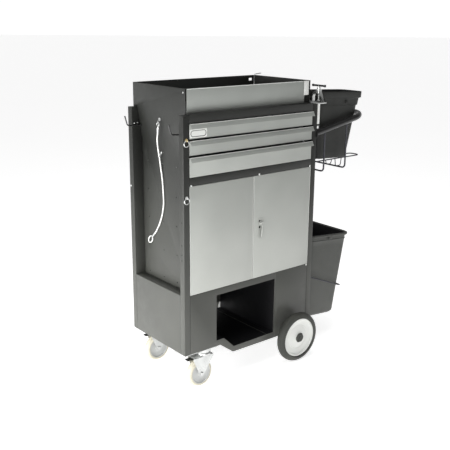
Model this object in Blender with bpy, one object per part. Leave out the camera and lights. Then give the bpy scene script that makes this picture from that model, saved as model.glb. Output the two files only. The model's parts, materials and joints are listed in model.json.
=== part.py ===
"""Sheet-steel housekeeping and maintenance cart with drawers, doors, bucket and waste bin.

Metres, +Z up. The cart's front faces -Y and its push handle is at the +X end.
Every size below is given about the middle of the steel body's footprint, on the
floor. The empty "cart" then moves the whole cart along X, so that the origin is
the middle of its overall footprint.
"""
import math

import bmesh
import bpy
from mathutils import Matrix, Vector

# Steel body
BODY_X = 0.381            # half width over the corner posts
BODY_Y = 0.2055           # half depth
BODY_BOTTOM = 0.183
BODY_TOP = 1.2265         # top of the corner posts
HEADER_X = 0.353          # half width of the open bin on top
HEADER_TOP = 1.331
HEADER_FRONT = -0.182
SHEET = 0.0015            # sheet thickness
GAP = 0.0003              # gap kept between touching pieces
CART_SHIFT = -0.1772     # body middle to the middle of the overall length

# Ends of the body
STRIP_X = 0.3525          # inner edge of a post's front strip
POST_WALL_Y = 0.175       # inner wall of a post
RECESS_X = 0.3305         # recessed side sheet
TAPER_BOTTOM = 1.09       # where the side sheet starts to lean out to the header
LEDGE_Z = 0.4565

# Front
DRAWERS = ((1.192, 1.131), (1.1235, 1.0635), (1.055, 0.9725))   # lip top, face bottom
DRAWER_X = 0.350
LIP_X = 0.3515
LIP_HEIGHT = 0.019
LIP_OUT_TOP = 0.0065
LIP_OUT_BOTTOM = 0.0165
DRAWER_TRAVEL_BACK = 0.172
DOOR_BOTTOM = 0.4575
DOOR_TOP = 0.9350
DOOR_DEPTH = 0.016
DOOR_OUTER_X = 0.3508
DOOR_INNER_X = 0.0015
DOOR_PIN_X = 0.344
DOOR_PIN_Y = -0.2015
RAIL_Z = 0.9365
DIVIDER_Z = 0.9705

# Cubby between the two lower fascias
CUBBY_LEFT = -0.207
CUBBY_RIGHT = 0.140
CUBBY_TOP = 0.4265
SEAM_X = 0.147

# Wheels
WHEEL_X = 0.248
WHEEL_R = 0.1215
WHEEL_Y = 0.257
WHEEL_WIDTH = 0.046
AXLE_R = 0.0098
CASTER_X = -0.279         # wheel centre
CASTER_PIVOT_X = -0.250
CASTER_Y = 0.169
CASTER_R = 0.0645
CASTER_WIDTH = 0.036

# Right end
HANDLE_Y = 0.19
HANDLE_R = 0.0145
HANDLE_START_Z = 1.0834
HANDLE_SLOPE = 0.193
HANDLE_END_X = 0.738
HANDLE_BEND = 0.080
WIRE_R = 0.004
SHELF_WIRE_R = 0.003
SHELF_TIP_X = 0.777
SHELF_Z = 0.934
BUCKET_LEAN = math.radians(3.0)
BIN_LEAN = math.radians(5.2)
BIN_TAPER = math.tan(math.radians(2.6))
CLAMP_X = 0.396
CLAMP_Y = -0.195

# Left end
HOOK_Y = 0.165
RING_X = -0.3665


def clear_scene():
    for obj in list(bpy.data.objects):
        bpy.data.objects.remove(obj, do_unlink=True)


def make_material(name, colour, roughness, metallic=0.0):
    material = bpy.data.materials.new(name)
    material.use_nodes = True
    shader = material.node_tree.nodes["Principled BSDF"]
    shader.inputs["Base Color"].default_value = (*colour, 1.0)
    shader.inputs["Roughness"].default_value = roughness
    shader.inputs["Metallic"].default_value = metallic
    return material


def add_object(name, shape, material, origin=(0.0, 0.0, 0.0), smooth=False):
    """Make an object of a bmesh given in body coordinates, with its origin at a point."""
    bmesh.ops.recalc_face_normals(shape, faces=shape.faces)
    bmesh.ops.translate(shape, verts=shape.verts, vec=-Vector(origin))
    mesh = bpy.data.meshes.new(name)
    shape.to_mesh(mesh)
    shape.free()
    mesh.materials.append(material)
    if smooth:
        mesh.shade_smooth()
        mesh.set_sharp_from_angle(angle=math.radians(35.0))
    obj = bpy.data.objects.new(name, mesh)
    bpy.context.scene.collection.objects.link(obj)
    obj.parent = bpy.data.objects["cart"]
    obj.location = origin
    return obj


def combine(base, shape, operation):
    """Join a bmesh to an object, or cut it away, with an exact Boolean."""
    other = add_object("tool", shape, base.data.materials[0], base.location)
    modifier = base.modifiers.new("combine", "BOOLEAN")
    modifier.operation = operation
    modifier.object = other
    bpy.context.view_layer.update()
    graph = bpy.context.evaluated_depsgraph_get()
    mesh = bpy.data.meshes.new_from_object(base.evaluated_get(graph))
    base.modifiers.clear()
    base.data = mesh
    bpy.data.objects.remove(other, do_unlink=True)


def swept(points, faces, vector):
    """Closed solid swept by a vector from a connected patch of faces."""
    shape = bmesh.new()
    near = [shape.verts.new(p) for p in points]
    far = [shape.verts.new(Vector(p) + Vector(vector)) for p in points]
    used = {}
    for face in faces:
        shape.faces.new([near[i] for i in face])
        shape.faces.new([far[i] for i in reversed(face)])
        for a, b in zip(face, face[1:] + face[:1]):
            used[(a, b)] = (a, b)
    for a, b in used:
        if (b, a) not in used:
            shape.faces.new((near[b], near[a], far[a], far[b]))
    return shape


def profile(outline, axis, start, end):
    """Extrude an outline along X, Y or Z. The outline holds the two other coordinates."""
    place = {
        "X": lambda u, v, w: (w, u, v),
        "Y": lambda u, v, w: (u, w, v),
        "Z": lambda u, v, w: (u, v, w),
    }[axis]
    points = [place(u, v, start) for u, v in outline]
    vector = Vector(place(0.0, 0.0, end - start))
    return swept(points, [list(range(len(points)))], vector)


def bent_sheet(path, thickness, axis, start, end):
    """A folded sheet: its path in section, thickened to the path's left side."""
    path = [Vector(p) for p in path]
    offsets = []
    for i, point in enumerate(path):
        before = (point - path[i - 1]).normalized() if i else None
        after = (path[i + 1] - point).normalized() if i + 1 < len(path) else None
        directions = [d for d in (before, after) if d is not None]
        normals = [Vector((-d.y, d.x)) for d in directions]
        if len(normals) == 1:
            offsets.append(point + normals[0] * thickness)
            continue
        middle = (normals[0] + normals[1]).normalized()
        offsets.append(point + middle * thickness / middle.dot(normals[0]))
    outline = [tuple(p) for p in path] + [tuple(p) for p in reversed(offsets)]
    return profile(outline, axis, start, end)


def box(low, high):
    outline = ((low[0], low[1]), (high[0], low[1]), (high[0], high[1]), (low[0], high[1]))
    return profile(outline, "Z", low[2], high[2])


def turned(section, centre, axis, steps):
    """Solid of revolution of a closed section of (radius, distance along the axis)."""
    shape = bmesh.new()
    rings = []
    for radius, along in section:
        if radius == 0.0:
            rings.append([shape.verts.new((0.0, 0.0, along))] * steps)
            continue
        turn = [2.0 * math.pi * i / steps for i in range(steps)]
        rings.append([shape.verts.new((radius * math.cos(t), radius * math.sin(t), along)) for t in turn])
    for ring, following in zip(rings, rings[1:] + rings[:1]):
        for i in range(steps):
            j = (i + 1) % steps
            corners = []
            for vert in (ring[i], ring[j], following[j], following[i]):
                if vert not in corners:
                    corners.append(vert)
            if len(corners) > 2:
                shape.faces.new(corners)
    turn_to = {
        "X": Matrix.Rotation(math.radians(90.0), 4, "Y"),
        "Y": Matrix.Rotation(math.radians(-90.0), 4, "X"),
        "Z": Matrix.Identity(4),
    }[axis]
    bmesh.ops.transform(shape, matrix=Matrix.Translation(Vector(centre)) @ turn_to, verts=shape.verts)
    return shape


def cylinder(radius, low, high, centre, axis, steps=16):
    return turned([(0.0, low), (radius, low), (radius, high), (0.0, high)], centre, axis, steps)


def rounded_path(corners, radius, steps):
    """A polyline whose inner corners are replaced by arcs."""
    corners = [Vector(c) for c in corners]
    path = [corners[0]]
    for before, corner, after in zip(corners, corners[1:], corners[2:]):
        inward = (before - corner).normalized()
        outward = (after - corner).normalized()
        half = inward.angle(outward) / 2.0
        setback = radius / math.tan(half)
        centre = corner + (inward + outward).normalized() * radius / math.sin(half)
        first = corner + inward * setback - centre
        last = corner + outward * setback - centre
        sweep = first.angle(last)
        for i in range(steps + 1):
            t = i / steps
            arc = first * math.sin((1.0 - t) * sweep) + last * math.sin(t * sweep)
            path.append(centre + arc / math.sin(sweep))
    path.append(corners[-1])
    return path


def rod(path, radius, sides=8, closed=False):
    """A round bar along a path, capped at its ends or closed on itself."""
    path = [Vector(p) for p in path]
    count = len(path)
    shape = bmesh.new()
    rings = []
    side = None
    for i, point in enumerate(path):
        before = path[i - 1] if (i or closed) else point
        after = path[(i + 1) % count] if (i + 1 < count or closed) else point
        tangent = (after - before).normalized()
        if side is None:
            across = Vector((0.0, 1.0, 0.0)) if abs(tangent.y) < 0.9 else Vector((1.0, 0.0, 0.0))
            side = tangent.cross(across).normalized()
        side = (side - tangent * side.dot(tangent)).normalized()
        up = tangent.cross(side)
        turn = [2.0 * math.pi * (k + 0.5) / sides for k in range(sides)]
        ring = [point + (side * math.cos(t) + up * math.sin(t)) * radius for t in turn]
        rings.append([shape.verts.new(p) for p in ring])
    pairs = list(zip(rings, rings[1:]))
    if closed:
        pairs.append((rings[-1], rings[0]))
    for ring, following in pairs:
        for k in range(sides):
            j = (k + 1) % sides
            shape.faces.new((ring[k], ring[j], following[j], following[k]))
    if not closed:
        shape.faces.new(rings[0])
        shape.faces.new(rings[-1])
    return shape


def rounded_rectangle(middle, half_x, half_y, radius, z, steps):
    """A loop of points around a rectangle with round corners."""
    loop = []
    for corner, (sx, sy) in enumerate(((1, 1), (-1, 1), (-1, -1), (1, -1))):
        cx = middle[0] + sx * (half_x - radius)
        cy = middle[1] + sy * (half_y - radius)
        for i in range(steps + 1):
            t = math.radians(90.0 * (corner + i / steps))
            loop.append(Vector((cx + radius * math.cos(t), cy + radius * math.sin(t), z)))
    return loop


def lofted(loops):
    """Closed solid through a list of loops, with its first and last loop filled."""
    shape = bmesh.new()
    rings = [[shape.verts.new(p) for p in loop] for loop in loops]
    for ring, following in zip(rings, rings[1:]):
        for i in range(len(ring)):
            j = (i + 1) % len(ring)
            shape.faces.new((ring[i], ring[j], following[j], following[i]))
    shape.faces.new(rings[0])
    shape.faces.new(rings[-1])
    return shape


def open_tray(low, high, wall, open_side):
    """A box with one open side, +Z or +Y."""
    axis = 2 if open_side == "+Z" else 1
    across = 3 - axis
    inner_low = [c + wall for c in low]
    inner_high = [c - wall for c in high]
    shape = bmesh.new()

    def ring(a, b, level):
        verts = []
        for x, other in ((a[0], a[across]), (b[0], a[across]), (b[0], b[across]), (a[0], b[across])):
            place = [x, other, other]
            place[axis] = level
            verts.append(shape.verts.new(place))
        return verts

    rings = [
        ring(low, high, low[axis]),
        ring(low, high, high[axis]),
        ring(inner_low, inner_high, high[axis]),
        ring(inner_low, inner_high, inner_low[axis]),
    ]
    for lower, upper in zip(rings, rings[1:]):
        for i in range(4):
            j = (i + 1) % 4
            shape.faces.new((lower[i], lower[j], upper[j], upper[i]))
    shape.faces.new(rings[0])
    shape.faces.new(rings[-1])
    return shape


def add_posts(paint):
    """Four folded corner posts, each closed by a cap plate."""
    for end, sx in (("left", -1), ("right", 1)):
        for side, sy in (("front", -1), ("rear", 1)):
            outline = [
                (STRIP_X, BODY_Y),
                (BODY_X, BODY_Y),
                (BODY_X, POST_WALL_Y),
                (RECESS_X, POST_WALL_Y),
                (RECESS_X, POST_WALL_Y + SHEET),
                (BODY_X - SHEET, POST_WALL_Y + SHEET),
                (BODY_X - SHEET, BODY_Y - SHEET),
                (STRIP_X, BODY_Y - SHEET),
            ]
            outline = [(sx * x, sy * y) for x, y in outline]
            post = add_object(f"post_{side}_{end}", profile(outline, "Z", BODY_BOTTOM, BODY_TOP), paint)
            edge = BODY_Y - SHEET - GAP
            cap = [
                (RECESS_X, POST_WALL_Y),
                (BODY_X, POST_WALL_Y),
                (BODY_X, BODY_Y),
                (STRIP_X, BODY_Y),
                (STRIP_X, edge),
                (RECESS_X, edge),
            ]
            cap = [(sx * x, sy * y) for x, y in cap]
            combine(post, profile(cap, "Z", BODY_TOP - SHEET, BODY_TOP), "UNION")


def add_side_sheets(paint):
    """Each side is one sheet: flat in the recess, leaning out to the header wall."""
    recess_y = POST_WALL_Y - 0.0005
    deck = BODY_TOP + GAP
    low = LEDGE_Z + GAP
    outline = (
        (-recess_y, low), (recess_y, low), (recess_y, TAPER_BOTTOM), (recess_y, deck),
        (BODY_Y, deck), (BODY_Y, HEADER_TOP), (HEADER_FRONT, HEADER_TOP),
        (HEADER_FRONT, deck), (-recess_y, deck), (-recess_y, TAPER_BOTTOM),
    )
    faces = ([0, 1, 2, 9], [9, 2, 3, 8], [7, 8, 3, 4, 5, 6])
    for end, sx in (("left", -1), ("right", 1)):
        points = [(sx * (HEADER_X if z > TAPER_BOTTOM else RECESS_X), y, z) for y, z in outline]
        sheet = swept(points, faces, (-sx * SHEET, 0.0, 0.0))
        add_object(f"{end}_side_sheet", sheet, paint)


def add_back_sheet(paint):
    x = HEADER_X - 2.0 * SHEET
    low = (-x, BODY_Y - SHEET, BODY_BOTTOM)
    back = add_object("back_sheet", box(low, (x, BODY_Y, HEADER_TOP)), paint)
    hole = box((0.316, BODY_Y - 0.01, 1.305), (0.335, BODY_Y + 0.01, 1.317))
    combine(back, hole, "DIFFERENCE")


def add_decks(paint):
    """The header's floor, the shelf under the drawers and the cabinet's floor."""
    x = STRIP_X - 0.0012
    rear = BODY_Y - SHEET - GAP
    deck_z = BODY_TOP + 0.0025
    deck = bent_sheet(((-BODY_Y, 1.194), (-BODY_Y, deck_z), (rear, deck_z)), -SHEET, "X", -x, x)
    add_object("top_deck", deck, paint)
    path = ((-BODY_Y, RAIL_Z), (-BODY_Y, DIVIDER_Z), (rear, DIVIDER_Z))
    add_object("divider_shelf", bent_sheet(path, -SHEET, "X", -0.3285, 0.3285), paint)
    strip = box((-x, -BODY_Y, RAIL_Z), (x, -BODY_Y + SHEET, DIVIDER_Z))
    combine(bpy.data.objects["divider_shelf"], strip, "UNION")
    front = -BODY_Y + SHEET + GAP
    floor = box((-0.3285, front, LEDGE_Z - 2.0 * SHEET), (0.3285, rear, LEDGE_Z - SHEET))
    add_object("cabinet_floor", floor, paint)


def add_runner_racks(steel):
    """Upright plates with one ledge under each side of each drawer box."""
    inner = RECESS_X - SHEET - GAP
    for end, sx in (("left", -1), ("right", 1)):
        outline = [(inner, DIVIDER_Z + GAP), (inner, 1.190), (inner - SHEET, 1.190)]
        for _, bottom in DRAWERS:
            ledge = bottom + 0.003
            outline.append((inner - SHEET, ledge))
            outline.append((inner - 0.012, ledge))
            outline.append((inner - 0.012, ledge - SHEET))
            outline.append((inner - SHEET, ledge - SHEET))
        outline.append((inner - SHEET, DIVIDER_Z + GAP))
        outline = [(sx * x, z) for x, z in outline]
        add_object(f"{end}_runner_rack", profile(outline, "Y", -0.170, 0.170), steel)


def add_lower_body(paint):
    """Flush skirts, the two front fascias, the cubby liner and the axle carrier."""
    for end, sx, inner in (("left", -1, 0.2105), ("right", 1, 0.1445)):
        path = [(RECESS_X - SHEET, LEDGE_Z), (BODY_X, LEDGE_Z), (BODY_X, BODY_BOTTOM), (inner, BODY_BOTTOM)]
        path = [(sx * x, z) for x, z in path]
        skirt_y = POST_WALL_Y - 0.0005
        add_object(f"{end}_skirt", bent_sheet(path, -sx * SHEET, "Y", -skirt_y, skirt_y), paint)

    top = LEDGE_Z - GAP
    side = STRIP_X - 0.0007
    back = -BODY_Y + SHEET
    outline = (
        (-side, BODY_BOTTOM), (-0.1855, BODY_BOTTOM), (-0.110, 0.127),
        (SEAM_X - 0.0004, 0.126), (SEAM_X - 0.0004, top), (-side, top),
    )
    fascia = add_object("lower_fascia", profile(outline, "Y", -BODY_Y, back), paint)
    mouth = (
        (CUBBY_LEFT, 0.210), (-0.164, 0.2105), (-0.105, 0.154),
        (CUBBY_RIGHT - 0.002, 0.156), (CUBBY_RIGHT, CUBBY_TOP), (CUBBY_LEFT, CUBBY_TOP),
    )
    combine(fascia, profile(mouth, "Y", -BODY_Y - 0.01, back + 0.01), "DIFFERENCE")
    outline = (
        (SEAM_X + 0.0004, 0.126), (0.180, 0.127), (0.225, BODY_BOTTOM),
        (side, BODY_BOTTOM), (side, top), (SEAM_X + 0.0004, top),
    )
    add_object("right_fascia", profile(outline, "Y", -BODY_Y, back), paint)

    path = (
        (CUBBY_LEFT - SHEET, 0.452), (CUBBY_LEFT - SHEET, 0.2085), (-0.165, 0.2085),
        (-0.1065, 0.1525), (0.1425, 0.1525), (0.1425, 0.452),
    )
    rear = BODY_Y - SHEET - GAP
    add_object("cubby_liner", bent_sheet(path, SHEET, "Y", back + GAP, rear), paint)

    hanger = 0.190
    bottom = BODY_BOTTOM - GAP
    path = ((-hanger, 0.098), (-hanger, bottom), (hanger, bottom), (hanger, 0.098))
    carrier = add_object("axle_carrier", bent_sheet(path, -0.003, "X", WHEEL_X - 0.033, WHEEL_X + 0.033), paint)
    hole = cylinder(AXLE_R + GAP, -0.3, 0.3, (WHEEL_X, 0.0, WHEEL_R), "Y", 16)
    combine(carrier, hole, "DIFFERENCE")


def add_gate(silver):
    """The header's front panel, which lifts out of its channel."""
    front = HEADER_FRONT
    gate = add_object("gate", box((-0.3455, front, 1.2305), (0.3165, front + SHEET, 1.329)), silver)
    combine(gate, box((-0.335, front, 1.329 - SHEET), (0.306, front + 0.010, 1.329)), "UNION")
    lip = front - SHEET - GAP
    path = (
        (0.312, lip), (0.3418, lip), (0.3418, front + 2.0 * SHEET + GAP), (0.312, front + 2.0 * SHEET + GAP),
    )
    add_object("gate_channel", bent_sheet(path, SHEET, "Z", 1.266, 1.330), silver)


def add_drawers(silver, steel):
    for number, (top, bottom) in enumerate(DRAWERS, start=1):
        face = -BODY_Y
        outline = [
            (face, bottom), (face, top - SHEET - 0.001), (face - LIP_OUT_TOP + SHEET, top - SHEET),
            (face - LIP_OUT_BOTTOM + SHEET, top - LIP_HEIGHT), (face - LIP_OUT_BOTTOM, top - LIP_HEIGHT),
            (face - LIP_OUT_TOP, top), (face + SHEET, top), (face + SHEET, bottom),
        ]
        shape = profile(outline, "X", -LIP_X, LIP_X)
        for vert in shape.verts:
            if vert.co.y > face - 0.001 and vert.co.z < top - 0.0005:
                vert.co.x = math.copysign(DRAWER_X, vert.co.x)
        add_object(f"drawer_front_{number}", shape, silver, (0.0, face, bottom))
        low = (-0.3255, face + SHEET + GAP, bottom + 0.0033)
        high = (0.3255, DRAWER_TRAVEL_BACK, top - 0.016)
        add_object(f"drawer_box_{number}", open_tray(low, high, SHEET, "+Z"), steel, (0.0, face, bottom))


def add_doors(silver, steel, black):
    """Two pan doors on pins, with a turning latch lever and a lift rod in the right one."""
    for end, sx in (("left", -1), ("right", 1)):
        xs = sorted((sx * DOOR_INNER_X, sx * DOOR_OUTER_X))
        low = (xs[0], -BODY_Y, DOOR_BOTTOM)
        high = (xs[1], -BODY_Y + DOOR_DEPTH, DOOR_TOP)
        pin = (sx * DOOR_PIN_X, DOOR_PIN_Y, DOOR_BOTTOM)
        add_object(f"{end}_door", open_tray(low, high, SHEET, "+Y"), silver, pin)
    rod_at = (0.0297, -0.1965)
    hole = cylinder(0.0042, DOOR_TOP - 0.01, DOOR_TOP + 0.01, (*rod_at, 0.0), "Z", 12)
    combine(bpy.data.objects["right_door"], hole, "DIFFERENCE")
    start = (*rod_at, 0.700)
    add_object("latch_rod", cylinder(0.0035, 0.700, 0.9355, (*rod_at, 0.0), "Z", 12), steel, start, True)
    pivot = (0.044, -BODY_Y, 0.715)
    boss = cylinder(0.012, -0.0135, -GAP, pivot, "Y", 20)
    lever = add_object("latch_lever", boss, black, pivot, True)
    combine(lever, box((0.036, -0.2175, 0.648), (0.052, -0.2120, 0.716)), "UNION")


def add_big_wheels(rubber, white, steel):
    """Two plain wheels on one fixed axle, each a tyre on a disc."""
    axle = cylinder(AXLE_R, -WHEEL_Y - 0.016, WHEEL_Y + 0.016, (WHEEL_X, 0.0, WHEEL_R), "Y", 16)
    add_object("axle", axle, steel, (WHEEL_X, 0.0, WHEEL_R), True)
    half = WHEEL_WIDTH / 2.0
    rim = 0.094
    tyre = [
        (rim + GAP, -0.017), (0.100, -half), (0.111, -half), (0.1185, -0.016), (WHEEL_R, -0.008),
        (WHEEL_R, 0.008), (0.1185, 0.016), (0.111, half), (0.100, half), (rim + GAP, 0.017),
    ]
    bore = AXLE_R + GAP
    disc = [
        (bore, -0.021), (0.022, -0.021), (0.026, -0.010), (0.060, -0.006), (0.086, -0.009), (rim, -0.017),
        (rim, 0.017), (0.086, 0.009), (0.060, 0.006), (0.026, 0.010), (0.022, 0.021), (bore, 0.021),
    ]
    for side, sy in (("front", -1), ("rear", 1)):
        centre = (WHEEL_X, sy * WHEEL_Y, WHEEL_R)
        add_object(f"tyre_{side}", turned(tyre, centre, "Y", 40), rubber, centre, True)
        add_object(f"wheel_disc_{side}", turned(disc, centre, "Y", 32), white, centre, True)


def add_casters(zinc, grey):
    """Swivel casters: a fixed plate, a fork that swivels and a wheel that rolls."""
    plate_top = BODY_BOTTOM - GAP
    plate_bottom = plate_top - 0.0045
    leg_inner = CASTER_WIDTH / 2.0 + 0.002
    leg_outer = leg_inner + 0.003
    for side, sy in (("front", -1), ("rear", 1)):
        y = sy * CASTER_Y
        pivot = (CASTER_PIVOT_X, y, plate_bottom)
        low = (CASTER_PIVOT_X - 0.050, y - 0.036, plate_bottom)
        high = (CASTER_PIVOT_X + 0.050, y + 0.036, plate_top)
        add_object(f"caster_plate_{side}", box(low, high), zinc, pivot)

        leg = (
            (CASTER_X - 0.013, 0.060), (CASTER_X, 0.052), (CASTER_X + 0.013, 0.060),
            (-0.212, 0.138), (-0.212, 0.146), (-0.322, 0.146), (-0.322, 0.138),
        )
        fork = add_object(f"caster_fork_{side}", profile(leg, "Y", y - leg_outer, y - leg_inner), zinc, pivot)
        combine(fork, profile(leg, "Y", y + leg_inner, y + leg_outer), "UNION")
        combine(fork, box((-0.300, y - leg_outer, 0.1425), (-0.216, y + leg_outer, 0.1465)), "UNION")
        race_low = 0.144 - plate_bottom
        combine(fork, cylinder(0.029, race_low, -GAP, pivot, "Z", 24), "UNION")
        centre = (CASTER_X, y, CASTER_R)
        combine(fork, cylinder(0.006, -leg_outer - 0.004, leg_outer + 0.004, centre, "Y", 12), "UNION")
        pedal = box((-0.346, y - 0.011, 0.1390), (-0.298, y + 0.011, 0.1455))
        combine(fork, pedal, "UNION")

        half = CASTER_WIDTH / 2.0
        section = [
            (0.0065, -half - 0.0008), (0.016, -half - 0.0008), (0.018, -0.010), (0.044, -0.010), (0.048, -half),
            (0.059, -half), (CASTER_R, -0.011), (CASTER_R, 0.011), (0.059, half), (0.048, half),
            (0.044, 0.010), (0.018, 0.010), (0.016, half + 0.0008), (0.0065, half + 0.0008),
        ]
        add_object(f"caster_wheel_{side}", turned(section, centre, "Y", 32), grey, centre, True)


def add_push_handle(black):
    def at(x, y):
        return (x, y, HANDLE_START_Z + (x - BODY_X) * HANDLE_SLOPE)

    start = BODY_X + 0.0032
    corners = (at(start, -HANDLE_Y), at(HANDLE_END_X, -HANDLE_Y), at(HANDLE_END_X, HANDLE_Y), at(start, HANDLE_Y))
    add_object("push_handle", rod(rounded_path(corners, HANDLE_BEND, 8), HANDLE_R, 14), black, smooth=True)


def add_wires(wire):
    """Two U hangers under the handle and two hairpins that the bucket stands on."""
    for name, x in (("hanger_inner", 0.4545), ("hanger_outer", 0.6045)):
        top = HANDLE_START_Z + (x - WIRE_R - BODY_X) * HANDLE_SLOPE - HANDLE_R / math.cos(math.atan(HANDLE_SLOPE))
        top -= GAP
        corners = ((x, -HANDLE_Y, top), (x, -HANDLE_Y, 0.897), (x, HANDLE_Y, 0.897), (x, HANDLE_Y, top))
        add_object(name, rod(rounded_path(corners, 0.018, 4), WIRE_R, 8), wire, smooth=True)
    for name, y in (("shelf_wire_front", -0.100), ("shelf_wire_rear", 0.010)):
        start = RECESS_X + GAP
        corners = (
            (start, y - 0.030, SHELF_Z), (SHELF_TIP_X, y - 0.030, SHELF_Z),
            (SHELF_TIP_X, y + 0.030, SHELF_Z), (start, y + 0.030, SHELF_Z),
        )
        add_object(name, rod(rounded_path(corners, 0.020, 4), SHELF_WIRE_R, 8), wire, smooth=True)


def leaning_loop(middle, lean, half_x, half_y, depth, radius):
    """A rounded rectangle at a depth below the rim of a container that leans about Y."""
    points = rounded_rectangle((0.0, 0.0), half_x, half_y, radius, -depth, 4)
    turn = Matrix.Rotation(lean, 3, "Y")
    return [turn @ point + middle for point in points]


def add_bucket(black):
    """A narrow tapered bucket with a deep rim band, open at the top."""
    rim_middle = Vector((0.572, -0.115, 1.268))
    outer = (
        (0.108, 0.034, 0.3245), (0.112, 0.038, 0.3185), (0.138, 0.056, 0.0670), (0.143, 0.060, 0.0620),
        (0.146, 0.063, 0.0330), (0.155, 0.069, 0.0300), (0.156, 0.070, 0.0),
    )
    inner = ((0.1525, 0.0665, 0.0), (0.1355, 0.0535, 0.0650), (0.109, 0.035, 0.3215))
    loops = [leaning_loop(rim_middle, BUCKET_LEAN, hx, hy, depth, 0.034) for hx, hy, depth in outer]
    loops += [leaning_loop(rim_middle, BUCKET_LEAN, hx, hy, depth, 0.031) for hx, hy, depth in inner]
    add_object("bucket", lofted(loops), black, rim_middle, True)


def add_waste_bin(grey, paint, wire):
    """A leaning bin hung by its inner lip on a rail and steadied by a wire hoop."""
    rim_middle = Vector((0.5415, 0.0, 0.564))
    rim_x = 0.1485
    rim_y = 0.180
    height = 0.436
    lip = 0.009
    lip_depth = 0.011
    wall = 0.003

    def wall_loop(depth, inset, radius):
        narrowing = lip + inset + depth * BIN_TAPER
        return leaning_loop(rim_middle, BIN_LEAN, rim_x - narrowing, rim_y - narrowing, depth, radius)

    loops = [
        wall_loop(height, 0.012, 0.030), wall_loop(height - 0.016, 0.0, 0.036), wall_loop(lip_depth, 0.0, 0.036),
        leaning_loop(rim_middle, BIN_LEAN, rim_x, rim_y, lip_depth, 0.045),
        leaning_loop(rim_middle, BIN_LEAN, rim_x, rim_y, 0.0, 0.045),
        wall_loop(0.0, wall, 0.033), wall_loop(height - 0.016, wall, 0.030),
    ]
    add_object("waste_bin", lofted(loops), grey, rim_middle, True)

    lip_edge = rim_middle + Matrix.Rotation(BIN_LEAN, 3, "Y") @ Vector((-rim_x, 0.0, -lip_depth))
    shelf = lip_edge.z - 0.0012
    path = ((RECESS_X + GAP, 0.480), (RECESS_X + GAP, shelf), (lip_edge.x + 0.005, shelf))
    add_object("bin_rail", bent_sheet(path, -0.002, "Y", -0.120, 0.120), paint)

    start_x = BODY_X + 0.0020
    reach = 0.6465
    drop = math.tan(math.radians(22.5))
    corners = [(start_x, -0.190), (reach, -0.190), (reach, 0.190), (start_x, 0.190)]
    corners = [(x, y, 0.3775 - (x - start_x) * drop) for x, y in corners]
    add_object("bin_hoop", rod(rounded_path(corners, 0.060, 5), 0.0033, 8), wire, smooth=True)


def add_clamp(steel):
    """A small screw clamp on the front right corner, with its tube below."""
    plate = box((0.3570, -0.2320, BODY_TOP + GAP), (0.4120, -0.1250, BODY_TOP + 0.006))
    base = add_object("clamp_base", plate, steel, (CLAMP_X, CLAMP_Y, BODY_TOP))
    tube = turned([(0.0, 1.1085), (0.010, 1.1085), (0.010, 1.1125), (0.0085, 1.1125),
                   (0.0085, 1.230), (0.0, 1.230)], (CLAMP_X, CLAMP_Y, 0.0), "Z", 16)
    combine(base, tube, "UNION")
    foot = BODY_TOP + 0.0055
    path = [(-0.038, foot), (-0.026, foot), (-0.010, 1.282), (0.010, 1.282), (0.026, foot), (0.038, foot)]
    path = [(CLAMP_Y + y, z) for y, z in path]
    combine(base, bent_sheet(path, -0.003, "X", CLAMP_X - 0.008, CLAMP_X + 0.008), "UNION")
    combine(base, cylinder(0.0043, 1.260, 1.300, (CLAMP_X, CLAMP_Y, 0.0), "Z", 16), "DIFFERENCE")

    axis = (CLAMP_X, CLAMP_Y, 0.0)
    top = (CLAMP_X, CLAMP_Y, 1.306)
    screw = add_object("clamp_screw", cylinder(0.0040, 1.2423, 1.308, axis, "Z", 16), steel, top, True)
    combine(screw, cylinder(0.0085, 1.2890, 1.2965, axis, "Z", 16), "UNION")
    combine(screw, cylinder(0.0048, -0.040, 0.040, top, "Y", 12), "UNION")
    add_object("clamp_pad", cylinder(0.0075, 1.2370, 1.2420, axis, "Z", 16), steel, (CLAMP_X, CLAMP_Y, 1.237), True)


def add_left_end(steel, white):
    """Two J hooks, the coated cable lanyard and two hanging rings."""
    for side, sy in (("front", -1), ("rear", 1)):
        y = sy * HOOK_Y
        corners = ((-0.3405, y, 1.145), (-0.411, y, 1.150), (-0.4227, y, 1.189))
        add_object(f"hook_{side}", rod(rounded_path(corners, 0.010, 4), 0.003, 8), steel, smooth=True)

    ring_middle = Vector((-0.357, 0.0085, 1.168))
    turn = [2.0 * math.pi * i / 20 for i in range(20)]
    circle = [ring_middle + Vector((0.0, 0.008 * math.cos(t), 0.008 * math.sin(t))) for t in turn]
    eye = add_object("lanyard_eye", rod(circle, 0.0018, 8, True), steel, smooth=True)
    shank = ((-0.3475, 0.0085, 1.188), (-0.355, 0.0085, 1.1855), (-0.357, 0.0085, 1.176))
    combine(eye, rod(shank, 0.0018, 8), "UNION")

    along = Vector((0.0, 0.719, -0.695))
    across = Vector((0.0, 0.695, 0.719))
    loop_middle = Vector((-0.3345, 0.1178, 0.6314))
    oval = [loop_middle + along * 0.0215 * math.cos(t) + across * 0.0135 * math.sin(t) for t in turn]
    add_object("lanyard_loop", rod(oval, 0.0018, 8, True), white, smooth=True)

    for name, z in (("ring_upper", 1.114), ("ring_lower", 0.876)):
        middle = Vector((RING_X, -BODY_Y - 0.0022, z))
        circle = [middle + Vector((0.0122 * math.cos(t), 0.0, 0.0122 * math.sin(t))) for t in turn]
        hinge = (RING_X, middle.y, z + 0.0122)
        add_object(name, rod(circle, 0.0016, 8, True), steel, hinge, True)


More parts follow.
